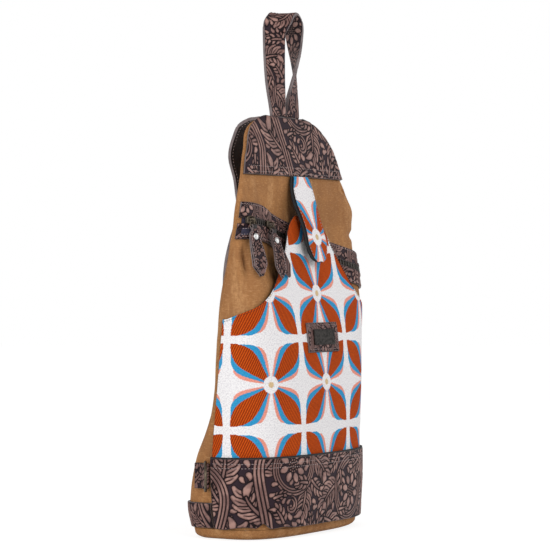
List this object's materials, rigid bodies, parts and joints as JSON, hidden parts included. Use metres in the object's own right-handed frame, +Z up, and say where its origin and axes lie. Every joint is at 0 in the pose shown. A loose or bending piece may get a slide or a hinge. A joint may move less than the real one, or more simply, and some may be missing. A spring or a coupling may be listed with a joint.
{
  "type": "sling backpack",
  "caption": "Tall slim sling backpack: canvas body, bell-shaped patterned slip pocket under a closure tab, sloping front zip, leather yoke and lower band, carry loop and shoulder strap.",
  "frame": {"origin": "middle of the underside of the base, on the surface that the bag stands on", "axes": "+Z up along the bag, -Y out of its front, +X to the right of someone who looks at the front"},
  "size_m": [0.2621, 0.126, 0.4994],
  "materials": {
    "canvas": "waxed canvas, matte",
    "jacquard": "woven pattern, matte",
    "leather": "tooled, semi-matte",
    "tape": "woven tape, matte",
    "hardware": "dark antique brass",
    "rivet": "polished"
  },
  "bodies": {
    "bag": {"canvas_body": "canvas", "base_panel": "canvas", "front_yoke": "leather", "lower_band": "leather", "corner_left": "leather", "corner_right": "leather", "zip_facing_upper": "leather", "zip_facing_lower": "leather", "zip_tape": "tape", "zip_chain": "hardware", "front_pocket": "jacquard", "closure_tab": "jacquard", "snap_stud": "hardware", "snap_socket": "hardware", "label_patch": "leather", "label_plate": "hardware", "handle_strap": "leather", "shoulder_strap": "leather", "strap_slide": "hardware", "lower_strap": "leather", "ring_tab_left": "leather", "ring_tab_right": "leather", "hook_eye": "hardware"},
    "slider_left": {"zip_slider_left": "hardware"},
    "pull_left": {"pull_bail_left": "hardware", "zip_pull_left": "leather", "pull_rivet_left": "rivet"},
    "slider_right": {"zip_slider_right": "hardware"},
    "pull_right": {"pull_bail_right": "hardware", "zip_pull_right": "leather", "pull_rivet_right": "rivet"},
    "ring_left": {"d_ring_left": "hardware"},
    "ring_right": {"d_ring_right": "hardware"},
    "hook": {"hook_body": "hardware"},
    "gate": {"hook_gate": "hardware"}
  },
  "joints": [
    {"name": "zip_slide_left", "type": "slide", "parent": "bag", "child": "slider_left", "axis": [0.9838, -0.1789, -0.0079], "range_m": [0, 0.008]},
    {"name": "zip_slide_right", "type": "slide", "parent": "bag", "child": "slider_right", "axis": [0.9536, 0.0892, -0.2875], "range_m": [-0.008, 0.004]},
    {"name": "pull_swing_left", "type": "hinge", "parent": "slider_left", "child": "pull_left", "pos_m": [-0.09799, -0.02744, 0.29691], "axis": [0.9833, -0.1821, 0], "range_deg": [-150, 0]},
    {"name": "pull_swing_right", "type": "hinge", "parent": "slider_right", "child": "pull_right", "pos_m": [-0.06218, -0.02577, 0.293], "axis": [0.9992, -0.0393, 0], "range_deg": [-150, 0]},
    {"name": "ring_swing_left", "type": "hinge", "parent": "bag", "child": "ring_left", "pos_m": [-0.11137, 0.0158, 0.0595], "axis": [0, 0, 1], "range_deg": [-110, 28]},
    {"name": "ring_swing_right", "type": "hinge", "parent": "bag", "child": "ring_right", "pos_m": [0.11137, 0.0158, 0.0595], "axis": [0, 0, 1], "range_deg": [-4, 10]},
    {"name": "hook_swivel", "type": "hinge", "parent": "bag", "child": "hook", "pos_m": [0.12566, 0.02832, 0.0595], "axis": [-0.6201, 0.7402, 0.2601], "range_deg": [-25, 25]},
    {"name": "gate_open", "type": "hinge", "parent": "hook", "child": "gate", "pos_m": [0.10988, 0.03827, 0.06428], "axis": [0.167, -0.1993, 0.9656], "range_deg": [0, 26], "stiffness_Nm_per_rad": 0.002, "springref_deg": -17.19}
  ]
}
